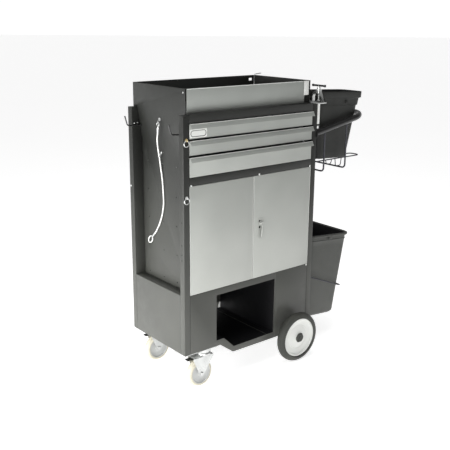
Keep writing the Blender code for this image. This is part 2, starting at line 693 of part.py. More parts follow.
def cable_route():
    """Points along the lanyard, read from a smooth curve through hand-placed points."""
    route = (
        (-0.3570, 0.0086, 1.1570), (-0.3560, 0.0110, 1.1400), (-0.3505, 0.0260, 1.0987),
        (-0.3440, 0.0291, 1.0545), (-0.3400, 0.0275, 1.0238), (-0.3365, 0.0255, 0.9885),
        (-0.3345, 0.0149, 0.9240), (-0.3345, 0.0092, 0.8583), (-0.3345, 0.0105, 0.8044),
        (-0.3345, 0.0320, 0.7404), (-0.3345, 0.0680, 0.6835), (-0.3345, 0.0985, 0.6500),
    )
    points = [Vector(p) for p in route]
    padded = [2.0 * points[0] - points[1]] + points + [2.0 * points[-1] - points[-2]]
    steps = 4
    smooth = []
    for before, start, end, after in zip(padded, padded[1:], padded[2:], padded[3:]):
        for i in range(steps):
            t = i / steps
            first = (end - before) * 0.5
            last = (after - start) * 0.5
            place = (2 * t**3 - 3 * t**2 + 1) * start + (t**3 - 2 * t**2 + t) * first
            place += (-2 * t**3 + 3 * t**2) * end + (t**3 - t**2) * last
            smooth.append(place)
    smooth.append(points[-1])
    return smooth


def add_lanyard_cable(white):
    curve = bpy.data.curves.new("lanyard_cable", "CURVE")
    curve.dimensions = "3D"
    curve.bevel_depth = 0.0033
    curve.bevel_resolution = 2
    curve.use_fill_caps = True
    points = cable_route()
    spline = curve.splines.new("POLY")
    spline.points.add(len(points) - 1)
    for place, point in zip(points, spline.points):
        point.co = (*place, 1.0)
    curve.materials.append(white)
    cable = bpy.data.objects.new("lanyard_cable", curve)
    bpy.context.scene.collection.objects.link(cable)
    cable.parent = bpy.data.objects["cart"]


def main():
    clear_scene()
    cart = bpy.data.objects.new("cart", None)
    bpy.context.scene.collection.objects.link(cart)
    cart.location = (CART_SHIFT, 0.0, 0.0)

    charcoal = make_material("charcoal_paint", (0.06, 0.065, 0.06), 0.45)
    silver = make_material("silver_paint", (0.36, 0.38, 0.36), 0.45, 0.2)
    steel = make_material("zinc_steel", (0.62, 0.63, 0.62), 0.35, 0.9)
    black = make_material("black_plastic", (0.02, 0.021, 0.02), 0.40)
    grey = make_material("bin_plastic", (0.07, 0.075, 0.07), 0.55)
    rubber = make_material("tyre_rubber", (0.09, 0.095, 0.085), 0.60)
    white = make_material("white_disc", (0.80, 0.81, 0.78), 0.40)
    caster = make_material("caster_tread", (0.55, 0.55, 0.52), 0.50)
    dark_wire = make_material("dark_wire", (0.10, 0.10, 0.12), 0.40, 0.6)

    add_posts(charcoal)
    add_side_sheets(charcoal)
    add_back_sheet(charcoal)
    add_decks(charcoal)
    add_runner_racks(steel)
    add_lower_body(charcoal)
    add_gate(silver)
    add_drawers(silver, steel)
    add_doors(silver, steel, black)
    add_big_wheels(rubber, white, steel)
    add_casters(steel, caster)
    add_push_handle(black)
    add_wires(dark_wire)
    add_bucket(black)
    add_waste_bin(grey, charcoal, dark_wire)
    add_clamp(steel)
    add_left_end(steel, white)
    add_lanyard_cable(white)


main()
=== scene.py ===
"""Looks of the housekeeping cart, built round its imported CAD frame. Metres, +Z up.

Pieces are modelled in the cart's own coordinates, with x running to the handle end and y to the
back, and piece() moves each of them into the row frame."""
import json
import math

import bmesh
import bpy
from mathutils import Matrix, Vector


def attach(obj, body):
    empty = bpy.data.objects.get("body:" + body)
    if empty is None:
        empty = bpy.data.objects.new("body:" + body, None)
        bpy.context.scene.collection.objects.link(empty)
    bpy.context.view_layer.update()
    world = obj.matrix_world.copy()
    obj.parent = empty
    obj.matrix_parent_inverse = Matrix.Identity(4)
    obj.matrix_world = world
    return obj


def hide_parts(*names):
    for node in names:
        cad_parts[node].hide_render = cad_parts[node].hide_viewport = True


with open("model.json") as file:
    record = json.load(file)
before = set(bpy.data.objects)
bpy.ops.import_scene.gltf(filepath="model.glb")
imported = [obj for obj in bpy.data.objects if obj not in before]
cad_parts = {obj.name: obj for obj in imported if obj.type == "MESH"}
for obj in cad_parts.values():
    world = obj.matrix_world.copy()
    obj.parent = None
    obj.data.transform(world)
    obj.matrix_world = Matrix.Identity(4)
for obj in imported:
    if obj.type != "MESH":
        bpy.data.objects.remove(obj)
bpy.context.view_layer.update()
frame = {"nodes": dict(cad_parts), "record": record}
SHIFT = Vector((-0.1772, 0.0, 0.0))   # steel body's middle in the row frame

FACE_Y = -0.2055                      # front face of the drawers and doors
WALL_X = 0.3812                       # outer face of the corner posts
LABEL_AT = (-0.3055, 1.1523)          # middle of the label plate, seen from the front
HANDLE_HEIGHT = 1.0834                # handle tube where it meets the posts
HANDLE_RISE = 0.193                   # its rise for each metre to the right
WHEEL_AT = (0.248, 0.257, 0.1215)     # big wheel's centre, at either side
CASTER_Y = 0.169
BUCKET_MIDDLE = (0.572, -0.115, 1.268)
BUCKET_LEAN = math.radians(3.0)
BIN_MIDDLE = (0.5415, 0.0, 0.564)
BIN_LEAN = math.radians(5.2)
BIN_TAPER = math.tan(math.radians(2.6))
CLAMP_AT = (0.396, -0.195)
LOOP_MIDDLE = Vector((-0.3345, 0.1178, 0.6314))   # the lanyard's end loop
LOOP_ALONG = Vector((0.0, 0.719, -0.695))
LOOP_ACROSS = Vector((0.0, 0.695, 0.719))
DRAWER_TOPS = (1.1920, 1.1235, 1.0550)


def add_camera():
    """The camera stands left of the cart and a little above it."""
    yaw, pitch, roll = (math.radians(a) for a in (39.15, 15.841, 0.386))
    forward = Vector((math.sin(yaw) * math.cos(pitch), math.cos(yaw) * math.cos(pitch), -math.sin(pitch)))
    level = Vector((math.cos(yaw), -math.sin(yaw), 0.0))
    up = level.cross(forward)
    right = level * math.cos(roll) + up * math.sin(roll)
    top = up * math.cos(roll) - level * math.sin(roll)
    data = bpy.data.cameras.new("camera")
    data.lens = 59.123
    data.sensor_width = 36.0
    data.clip_end = 60.0
    camera = bpy.data.objects.new("camera", data)
    bpy.context.scene.collection.objects.link(camera)
    rotation = Matrix((right, top, -forward)).transposed()
    camera.matrix_world = Matrix.Translation(Vector((-2.2802, -2.5887, 1.6128))) @ rotation.to_4x4()
    bpy.context.scene.camera = camera


# ---------------------------------------------------------------- materials
def set_range(node, from_low, from_high, to_low, to_high):
    """Fill in the four ends of a Map Range node."""
    ends = {"From Min": from_low, "From Max": from_high, "To Min": to_low, "To Max": to_high}
    for socket, number in ends.items():
        node.inputs[socket].default_value = number


def finish_material(name, low, high, rough, metallic=0.0, grain=900.0, bump=0.15, specular=0.5,
                    blotch=6.0, heights=(0.1, 1.3), coat=0.0, mottle=0.10, dust=0.0):
    """A painted, plated or moulded finish.

    Its tone goes from low to high between two heights, which in some of the materials is painted light and
    shade, and blotches, grain, roughness and dust vary over the surface."""
    material = bpy.data.materials.new(name)
    material.use_nodes = True
    nodes = material.node_tree.nodes
    link = material.node_tree.links.new
    shader = nodes["Principled BSDF"]
    shader.inputs["Metallic"].default_value = metallic
    shader.inputs["Specular IOR Level"].default_value = specular
    shader.inputs["Coat Weight"].default_value = coat
    place = nodes.new("ShaderNodeTexCoord").outputs["Object"]

    def noise(scale, detail):
        node = nodes.new("ShaderNodeTexNoise")
        node.inputs["Scale"].default_value = scale
        node.inputs["Detail"].default_value = detail
        link(place, node.inputs["Vector"])
        return node.outputs["Fac"]

    def spread(value, from_low, from_high, to_low, to_high):
        node = nodes.new("ShaderNodeMapRange")
        set_range(node, from_low, from_high, to_low, to_high)
        link(value, node.inputs["Value"])
        return node.outputs["Result"]

    def mixed(factor, first, second, mode="MIX"):
        node = nodes.new("ShaderNodeMix")
        node.data_type = "RGBA"
        node.blend_type = mode
        if isinstance(factor, float):
            node.inputs[0].default_value = factor
        else:
            link(factor, node.inputs[0])
        for socket, value in ((6, first), (7, second)):
            if isinstance(value, tuple):
                node.inputs[socket].default_value = (*value, 1.0)
            else:
                link(value, node.inputs[socket])
        return node.outputs[2]

    split = nodes.new("ShaderNodeSeparateXYZ")
    link(place, split.inputs[0])
    height = spread(split.outputs["Z"], heights[0], heights[1], 0.0, 1.0)
    tone = mixed(height, low, high)
    blotches = spread(noise(blotch, 4.0), 0.3, 0.7, 1.0 - mottle, 1.0 + mottle)
    speckle = spread(noise(grain * 0.7, 2.0), 0.3, 0.7, 1.0 - 0.6 * mottle, 1.0 + 0.6 * mottle)
    product = nodes.new("ShaderNodeMath")
    product.operation = "MULTIPLY"
    link(blotches, product.inputs[0])
    link(speckle, product.inputs[1])
    grey = nodes.new("ShaderNodeCombineColor")
    for socket in grey.inputs:
        link(product.outputs[0], socket)
    colour = mixed(1.0, tone, grey.outputs[0], "MULTIPLY")
    if dust:
        grime = spread(noise(14.0, 6.0), 0.52, 0.78, 0.0, dust)
        colour = mixed(grime, colour, (0.30, 0.28, 0.24))
    link(colour, shader.inputs["Base Color"])
    link(spread(noise(blotch * 4.0, 3.0), 0.3, 0.7, rough - 0.06, rough + 0.06), shader.inputs["Roughness"])
    relief = nodes.new("ShaderNodeBump")
    relief.inputs["Strength"].default_value = bump
    relief.inputs["Distance"].default_value = 0.0006
    link(noise(grain, 3.0), relief.inputs["Height"])
    link(relief.outputs["Normal"], shader.inputs["Normal"])
    return material


def make_materials():
    return {
        # Painted shade: the charcoal runs from lighter near the floor to darker towards the top, for the fall
        # of light on the body.
        "charcoal_paint": finish_material(
            "charcoal_powder_coat", (0.085, 0.087, 0.078), (0.017, 0.018, 0.016), 0.42,
            grain=1100.0, bump=0.22, specular=0.35, heights=(0.15, 1.0)),
        # Painted shade: the silver is lighter low and darker towards the top, for the fall of light on the
        # drawers and doors.
        "silver_paint": finish_material(
            "silver_powder_coat", (0.47, 0.48, 0.45), (0.30, 0.315, 0.295), 0.42, 0.25,
            grain=1400.0, bump=0.20, heights=(0.35, 1.30), mottle=0.05),
        # Painted highlight: a lighter silver for the gate channel and the thin strips that stand in for light
        # on folded edges.
        "painted_highlight_silver": finish_material(
            "silver_painted_highlight", (0.66, 0.67, 0.64), (0.74, 0.75, 0.72), 0.38, 0.15,
            grain=1400.0, bump=0.15, heights=(0.35, 1.30), mottle=0.04),
        "zinc_steel": finish_material(
            "bright_zinc_plate", (0.62, 0.63, 0.62), (0.60, 0.61, 0.60), 0.32, 0.9,
            grain=700.0, bump=0.10, blotch=25.0),
        "black_plastic": finish_material(
            "black_moulded_plastic", (0.016, 0.017, 0.015), (0.014, 0.015, 0.013), 0.50,
            grain=1600.0, bump=0.25, specular=0.35, mottle=0.14, dust=0.02),
        "black_paint": finish_material(
            "black_satin_paint", (0.014, 0.014, 0.014), (0.014, 0.014, 0.014), 0.30,
            grain=500.0, bump=0.08, coat=0.2, mottle=0.12),
        "bin_plastic": finish_material(
            "grey_moulded_plastic", (0.085, 0.088, 0.079), (0.050, 0.052, 0.046), 0.48,
            grain=1300.0, bump=0.25, heights=(0.1, 0.6), mottle=0.08, dust=0.03),
        "tyre_rubber": finish_material(
            "grey_tyre_rubber", (0.040, 0.042, 0.036), (0.040, 0.042, 0.036), 0.58,
            grain=1200.0, bump=0.35, mottle=0.16, dust=0.12),
        "white_disc": finish_material(
            "white_enamel", (0.78, 0.79, 0.76), (0.80, 0.81, 0.78), 0.35,
            grain=300.0, bump=0.06, coat=0.2, mottle=0.02, dust=0.05),
        "caster_tread": finish_material(
            "cast_polyurethane", (0.60, 0.57, 0.46), (0.60, 0.57, 0.46), 0.45,
            grain=900.0, bump=0.15, mottle=0.06, dust=0.20),
        "dark_wire": finish_material(
            "dark_coated_wire", (0.035, 0.035, 0.045), (0.035, 0.035, 0.045), 0.35, 0.3,
            grain=900.0, bump=0.15, mottle=0.12),
        "white_vinyl": finish_material(
            "white_vinyl_jacket", (0.80, 0.80, 0.77), (0.80, 0.80, 0.77), 0.35,
            grain=260.0, bump=0.30, coat=0.3, mottle=0.03, dust=0.06),
        # Near black: painted shade for cavities, inner walls and recesses, and also the colour of dark seams
        # and screws.
        "shadow_black": finish_material(
            "near_black_paint_and_painted_shade", (0.006, 0.006, 0.007), (0.010, 0.010, 0.011), 0.6,
            grain=900.0, bump=0.15, specular=0.2),
        "core_plastic": finish_material(
            "pale_grey_core", (0.50, 0.51, 0.50), (0.62, 0.63, 0.62), 0.42,
            grain=1000.0, bump=0.12, mottle=0.05, dust=0.08, heights=(0.0, 0.13)),
        "brass_plate": finish_material(
            "dull_brass_plate", (0.52, 0.42, 0.22), (0.52, 0.42, 0.22), 0.35, 0.85,
            grain=700.0, bump=0.10, blotch=30.0),
        "floor_finish": finish_material(
            "pale_floor", (0.90, 0.90, 0.90), (0.90, 0.90, 0.90), 0.85,
            grain=90.0, bump=0.02, specular=0.1, blotch=0.8, mottle=0.01),
    }


MATERIALS = make_materials()
FLOOR_SHADER = MATERIALS["floor_finish"].node_tree.nodes["Principled BSDF"]
FLOOR_SHADER.inputs["Emission Color"].default_value = (1.0, 1.0, 1.0, 1.0)
FLOOR_SHADER.inputs["Emission Strength"].default_value = 0.70


# ---------------------------------------------------------------- mesh tools
def piece(name, shape, material, body, replaces=(), angle=38.0, also=()):
    """Make a piece of a bmesh in the cart's coordinates, and let it ride on a CAD body."""
    bmesh.ops.recalc_face_normals(shape, faces=shape.faces)
    bmesh.ops.translate(shape, verts=shape.verts, vec=SHIFT)
    mesh = bpy.data.meshes.new(name)
    shape.to_mesh(mesh)
    shape.free()
    for key in (material, *also):
        mesh.materials.append(MATERIALS[key])
    mesh.shade_smooth()
    mesh.set_sharp_from_angle(angle=math.radians(angle))
    obj = bpy.data.objects.new(name, mesh)
    bpy.context.scene.collection.objects.link(obj)
    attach(obj, body)
    if replaces:
        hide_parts(*replaces)
    return obj


def join(target, shape, matrix=None):
    """Add a bmesh to another one, moved by a matrix."""
    if matrix is not None:
        bmesh.ops.transform(shape, matrix=matrix, verts=shape.verts)
    mesh = bpy.data.meshes.new("part")
    shape.to_mesh(mesh)
    shape.free()
    target.from_mesh(mesh)
    bpy.data.meshes.remove(mesh)


def full_turn(steps):
    """Evenly spaced angles round a circle."""
    return [2.0 * math.pi * i / steps for i in range(steps)]


def tube(points, radius, sides=16, closed=False):
    """A round bar along a path; radius is a number or one number for each point."""
    points = [Vector(p) for p in points]
    count = len(points)
    radii = radius if isinstance(radius, list) else [radius] * count
    shape = bmesh.new()
    rings = []
    side = None
    for i, point in enumerate(points):
        before = points[i - 1] if (i or closed) else point
        after = points[(i + 1) % count] if (i + 1 < count or closed) else point
        tangent = (after - before).normalized()
        if side is None:
            across = Vector((0.0, 1.0, 0.0)) if abs(tangent.y) < 0.9 else Vector((1.0, 0.0, 0.0))
            side = tangent.cross(across)
        side = (side - tangent * side.dot(tangent)).normalized()
        up = tangent.cross(side)
        places = [side * math.cos(t) + up * math.sin(t) for t in full_turn(sides)]
        rings.append([shape.verts.new(point + place * radii[i]) for place in places])
    bridge(shape, rings, closed)
    return shape


def bridge(shape, rings, closed=False):
    """Skin a list of rings of vertices, closing it on itself or with an end face at each end."""
    pairs = list(zip(rings, rings[1:]))
    if closed:
        pairs.append((rings[-1], rings[0]))
    for ring, following in pairs:
        count = len(ring)
        for k in range(count):
            j = (k + 1) % count
            shape.faces.new((ring[k], ring[j], following[j], following[k]))
    if not closed:
        shape.faces.new(rings[0])
        shape.faces.new(rings[-1])


def rounded_path(corners, radius, steps):
    """A polyline whose inner corners are replaced by arcs."""
    corners = [Vector(c) for c in corners]
    path = [corners[0]]
    for before, corner, after in zip(corners, corners[1:], corners[2:]):
        inward = (before - corner).normalized()
        outward = (after - corner).normalized()
        half = inward.angle(outward) / 2.0
        centre = corner + (inward + outward).normalized() * radius / math.sin(half)
        first = corner + inward * radius / math.tan(half) - centre
        last = corner + outward * radius / math.tan(half) - centre
        sweep = first.angle(last)
        for i in range(steps + 1):
            t = i / steps
            arc = first * math.sin((1.0 - t) * sweep) + last * math.sin(t * sweep)
            path.append(centre + arc / math.sin(sweep))
    path.append(corners[-1])
    return path


AXES = {
    "X": Matrix.Rotation(math.radians(90.0), 4, "Y"),
    "Y": Matrix.Rotation(math.radians(-90.0), 4, "X"),
    "Z": Matrix.Identity(4),
}


def turned(section, centre, axis="Z", steps=64, closed=True):
    """Solid of revolution of a section of (radius, distance along the axis).

    A closed section is a ring; one that isn't gets an end face at its first and last point."""
    shape = bmesh.new()
    turn = full_turn(steps)
    rings = []
    for r, h in section:
        rings.append([shape.verts.new((r * math.cos(t), r * math.sin(t), h)) for t in turn])
    bridge(shape, rings, closed)
    bmesh.ops.transform(shape, matrix=Matrix.Translation(Vector(centre)) @ AXES[axis], verts=shape.verts)
    return shape


def block(low, high, width, segments=2):
    """A box with rounded edges."""
    shape = bmesh.new()
    bmesh.ops.create_cube(shape, size=1.0)
    size = Vector(high) - Vector(low)
    middle = (Vector(high) + Vector(low)) / 2.0
    place = Matrix.Translation(middle) @ Matrix.Diagonal((*size, 1.0))
    bmesh.ops.transform(shape, matrix=place, verts=shape.verts)
    bmesh.ops.bevel(shape, geom=shape.edges[:], offset=width, segments=segments, affect="EDGES", profile=0.5)
    return shape


def plate(outline, axis, start, end, width):
    """An outline extruded along X or Y, with rounded edges."""
    place = {"X": lambda u, v, w: (w, u, v), "Y": lambda u, v, w: (u, w, v)}[axis]
    shape = bmesh.new()
    rings = [[shape.verts.new(place(u, v, w)) for u, v in outline] for w in (start, end)]
    bridge(shape, rings)
    rims = [e for e in shape.edges if abs(e.calc_face_angle(0.0)) > 0.9]
    bmesh.ops.bevel(shape, geom=rims, offset=width, segments=2, affect="EDGES", profile=0.5)
    return shape


def rounded_loop(middle, half_x, half_y, radius, steps=8):
    """(x, y) points round a rectangle with round corners."""
    points = []
    for corner, (sx, sy) in enumerate(((1, 1), (-1, 1), (-1, -1), (1, -1))):
        for i in range(steps + 1):
            t = math.radians(90.0 * (corner + i / steps))
            x = middle[0] + sx * (half_x - radius) + radius * math.cos(t)
            points.append((x, middle[1] + sy * (half_y - radius) + radius * math.sin(t)))
    return points


def container(layers, middle, lean, inner_from):
    """A vessel of rounded-rectangle loops (half x, half y, corner radius, depth below the rim).

    The faces from one loop on are the inside, and take the second material; the bucket and bin give it
    near-black painted shade."""
    shape = bmesh.new()
    turn = Matrix.Rotation(lean, 3, "Y")
    rings = []
    for half_x, half_y, radius, depth in layers:
        loop = rounded_loop((0.0, 0.0), half_x, half_y, radius)
        rings.append([shape.verts.new(turn @ Vector((x, y, -depth)) + Vector(middle)) for x, y in loop])
    bridge(shape, rings)
    inside = {vert for ring in rings[inner_from:] for vert in ring}
    for face in shape.faces:
        face.material_index = int(all(vert in inside for vert in face.verts))
    return shape


def head(radius, kind):
    """A cross-slot screw head, a hexagon head or a plain rivet at the origin, facing +Z."""
    shape = bmesh.new()
    steps = 24
    tall = radius * (0.55 if kind == "cross" else 0.75)
    section = [(1.0, 0.0), (1.0, 0.25), (0.86, 0.68), (0.62, 0.93)]
    if kind == "hex":
        section = [(1.25, 0.0), (1.25, 0.2), (1.0, 0.2), (1.0, 0.9), (0.9, 1.0)]
    rings = []
    for level, (r, h) in enumerate(section):
        ring = []
        for t in full_turn(steps):
            flat = 1.0
            if kind == "hex" and level > 1:
                flat = math.cos(math.pi / 6.0) / math.cos((t % (math.pi / 3.0)) - math.pi / 6.0)
            reach = r * flat * radius
            ring.append(shape.verts.new((reach * math.cos(t), reach * math.sin(t), h * tall)))
        rings.append(ring)
    if kind == "cross":
        for h in (0.97, 0.45):
            ring = []
            for t in full_turn(steps):
                r = radius * (0.16 + 0.36 * abs(math.cos(2.0 * t)) ** 3)
                ring.append(shape.verts.new((r * math.cos(t), r * math.sin(t), h * tall)))
            rings.append(ring)
    bridge(shape, rings)
    return shape


def heads(name, places, radius, body, material="zinc_steel", kind="cross"):
    """Several screw heads in one piece; each place is (point, direction it faces)."""
    shape = bmesh.new()
    for point, facing in places:
        turn = Vector((0.0, 0.0, 1.0)).rotation_difference(Vector(facing)).to_matrix().to_4x4()
        join(shape, head(radius, kind), Matrix.Translation(Vector(point)) @ turn)
    return piece(name, shape, material, body)


# ---------------------------------------------------------------- the lanyard, the one free cord
CABLE_ROUTE = (
    (-0.3570, 0.0086, 1.1570), (-0.3560, 0.0110, 1.1400), (-0.3505, 0.0260, 1.0987),
    (-0.3440, 0.0291, 1.0545), (-0.3400, 0.0275, 1.0238), (-0.3365, 0.0255, 0.9885),
    (-0.3345, 0.0149, 0.9240), (-0.3345, 0.0092, 0.8583), (-0.3345, 0.0105, 0.8044),
    (-0.3345, 0.0320, 0.7404), (-0.3345, 0.0680, 0.6835), (-0.3345, 0.0985, 0.6500),
)


def smooth_route(route, steps=8):
    """A smooth curve through all the points of a route."""
    points = [Vector(p) for p in route]
    padded = [2.0 * points[0] - points[1]] + points + [2.0 * points[-1] - points[-2]]
    smooth = []
    for before, start, end, after in zip(padded, padded[1:], padded[2:], padded[3:]):
        for i in range(steps):
            t = i / steps
            first = (end - before) * 0.5
            last = (after - start) * 0.5
            place = (2 * t**3 - 3 * t**2 + 1) * start + (t**3 - 2 * t**2 + t) * first
            smooth.append(place + (-2 * t**3 + 3 * t**2) * end + (t**3 - t**2) * last)
    smooth.append(points[-1])
    return smooth


def ferrule(a, b, radius):
    """A crimped metal sleeve between two points."""
    a, b = Vector(a), Vector(b)
    parts = 10
    path = [a.lerp(b, i / parts) for i in range(parts + 1)]
    radii = [radius * (0.86 if i in (0, parts) else 1.0 - 0.07 * (i % 2)) for i in range(parts + 1)]
    return tube(path, radii, 18)


def loop_oval(half_length, half_width):
    """Points round the lanyard's end loop."""
    return [LOOP_MIDDLE + LOOP_ALONG * half_length * math.cos(t) + LOOP_ACROSS * half_width * math.sin(t)
            for t in full_turn(40)]


def add_lanyard():
    route = smooth_route(CABLE_ROUTE)
    cable = piece("lanyard", tube(route, 0.0033, 14), "white_vinyl", "cart_body", ("lanyard_cable",))
    oval = tube(loop_oval(0.0205, 0.0130), 0.0021, 12, True)
    loop = piece("lanyard_end_loop", oval, "white_vinyl", "cart_body", ("lanyard_loop",))
    inner = tube(loop_oval(0.0172, 0.0098), 0.0013, 10, True)
    thimble = piece("lanyard_thimble", inner, "zinc_steel", "cart_body")
    sleeve = ferrule(route[-6], LOOP_MIDDLE - LOOP_ALONG * 0.0190, 0.0052)
    end_sleeve = piece("lanyard_end_sleeve", sleeve, "zinc_steel", "cart_body")
    top = ferrule(route[1], route[10], 0.0048)
    top_sleeve = piece("lanyard_top_sleeve", top, "zinc_steel", "cart_body")


def add_lanyard_fittings():
    """The eye that the lanyard hangs from, and the ring that guides it."""
    ring = Vector((-0.357, 0.0085, 1.168))
    turn = full_turn(40)
    circle = [ring + Vector((0.0, 0.008 * math.cos(t), 0.008 * math.sin(t))) for t in turn]
    eye = tube(circle, 0.0018, 12, True)
    shank = (
        (-0.3472, 0.0085, 1.1885), (-0.353, 0.0085, 1.1865), (-0.3565, 0.0085, 1.183),
        (-0.357, 0.0085, 1.176),
    )
    join(eye, tube(shank, 0.0018, 12))
    join(eye, turned([(0.0, -0.002), (0.007, -0.002), (0.007, 0.0), (0.0045, 0.002), (0.0, 0.002)],
                     (-0.3475, 0.0085, 1.1885), "X", 24, False))
    piece("lanyard_top_eye", eye, "zinc_steel", "cart_body", ("lanyard_eye",))
    clip = [Vector((-0.3402, 0.0272, 1.0262)) + Vector((0.0062 * math.cos(t), 0.0062 * math.sin(t), 0.0))
            for t in turn]
    guide = tube(clip, 0.0014, 10, True)
    stem = ((-0.3345, 0.0262, 1.0262), (-0.3330, 0.0262, 1.034), (-0.3325, 0.0262, 1.042))
    join(guide, tube(stem, 0.0016, 10))
    piece("lanyard_guide_ring", guide, "zinc_steel", "cart_body")
    heads("lanyard_guide_screw", [((-0.3306, 0.0262, 1.043), (-1, 0, 0))], 0.0052, "cart_body")


add_camera()
add_lanyard()
add_lanyard_fittings()


# ---------------------------------------------------------------- CAD nodes that keep their shape
def dress_cad_nodes():
    """Give each kept CAD node its finish, and round its sharp sheet edges."""
    slots = {entry["node"]: entry["material_slot"] for entry in frame["record"]["subparts"]}
    # Painted light: the cubby liner, cabinet floor and axle carrier are near black as painted shade, and the
    # gate channel takes the painted highlight silver.
    painted_light_overrides = dict.fromkeys(("cubby_liner", "cabinet_floor", "axle_carrier"), "shadow_black")
    painted_light_overrides["gate_channel"] = "painted_highlight_silver"
    panels = ("drawer_front", "gate", "left_door", "right_door")
    for name, obj in frame["nodes"].items():
        key = painted_light_overrides.get(name, slots[name])
        obj.data.materials.clear()
        obj.data.materials.append(MATERIALS[key])
        if name.startswith("lanyard"):
            continue
        weld = obj.modifiers.new("weld", "WELD")
        weld.merge_threshold = 0.00001
        bevel = obj.modifiers.new("round", "BEVEL")
        bevel.width = 0.0010 if name.startswith(panels) else 0.0006
        bevel.segments = 2
        bevel.limit_method = "ANGLE"
        bevel.angle_limit = math.radians(30.0)
        obj.data.shade_smooth()
        obj.data.set_sharp_from_angle(angle=math.radians(50.0))


def cut_holes():
    """Rows of small holes through the recessed side sheets."""
    hole = [(0.0026, -0.01), (0.0026, 0.01)]
    for end, sx in (("left", -1.0), ("right", 1.0)):
        cutter = bmesh.new()
        for z in (0.478, 0.605, 0.735, 0.864, 0.994):
            for y in (0.131, 0.017, -0.082):
                join(cutter, turned(hole, (sx * 0.330, y, z), "X", 12, False))
        bmesh.ops.recalc_face_normals(cutter, faces=cutter.faces)
        bmesh.ops.translate(cutter, verts=cutter.verts, vec=SHIFT)
        mesh = bpy.data.meshes.new(f"{end}_hole_cutter")
        cutter.to_mesh(mesh)
        cutter.free()
        tool = bpy.data.objects.new(f"{end}_hole_cutter", mesh)
        bpy.context.scene.collection.objects.link(tool)
        tool.hide_render = True
        tool.hide_viewport = True
        sheet = frame["nodes"][f"{end}_side_sheet"]
        modifier = sheet.modifiers.new("holes", "BOOLEAN")
        modifier.operation = "DIFFERENCE"
        modifier.object = tool


# ---------------------------------------------------------------- wheels and casters
def tyre_section():
    """A round tread between two beads, with a groove at each shoulder."""
    half_width = 0.0205
    groove_at = half_width * math.sin(math.radians(36.0))
    arc = [(0.1035 + 0.0178 * math.cos(t), half_width * math.sin(t)) for t in
           (math.radians(a) for a in range(-84, 85, 12))]
    bead = [(0.0945, 0.0165), (0.0975, 0.0212), (0.1000, 0.0226), (0.1010, 0.0216)]
    section = []
    for r, h in [(r, -h) for r, h in bead] + arc + bead[::-1]:
        section.append((r, h))
        if abs(abs(h) - groove_at) < 0.0002:
            section += [(r - 0.0022, h * 0.94), (r - 0.0004, h * 0.86)]
    return section


def hub_cap():
    """A turned cap whose rim bulges at six places, facing +Z."""
    section = [(0.0235, 0.0), (0.0240, 0.0012), (0.0205, 0.0060), (0.0190, 0.0066), (0.0090, 0.0056),
               (0.0080, 0.0082)]
    shape = bmesh.new()
    rings = []
    for r, h in section:
        ring = []
        for t in full_turn(48):
            hexed = 1.0 if r < 0.01 else 1.0 - 0.045 * (1.0 - abs(math.cos(3.0 * t)))
            ring.append(shape.verts.new((r * hexed * math.cos(t), r * hexed * math.sin(t), h)))
        rings.append(ring)
    bridge(shape, rings)
    return shape


def add_big_wheels():
    x, half_track, z = WHEEL_AT
    half = [
        (0.0101, -0.0210), (0.0205, -0.0210), (0.0215, -0.0200), (0.0235, -0.0120), (0.0290, -0.0100),
        (0.0560, -0.0062), (0.0580, -0.0078), (0.0600, -0.0062), (0.0800, -0.0078), (0.0850, -0.0105),
        (0.0870, -0.0160), (0.0900, -0.0172), (0.0941, -0.0165),
    ]
    disc = half + [(r, -h) for r, h in reversed(half)]
    for side, sy in (("front", -1.0), ("rear", 1.0)):
        body = f"wheel_{side}"
        centre = (x, sy * half_track, z)
        piece(f"tyre_{side}_tread", turned(tyre_section(), centre, "Y", 96), "tyre_rubber", body,
              (f"tyre_{side}",), 30.0)
        piece(f"wheel_{side}_pressing", turned(disc, centre, "Y", 72), "white_disc", body,
              (f"wheel_disc_{side}",), 30.0)
        cap = hub_cap()
        facing = Matrix.Rotation(math.radians(-90.0 * sy), 4, "X")
        place = Matrix.Translation((x, sy * 0.2746, z)) @ facing
        bmesh.ops.transform(cap, matrix=place, verts=cap.verts)
        piece(f"hub_cap_{side}", cap, "tyre_rubber", "cart_body", angle=25.0)


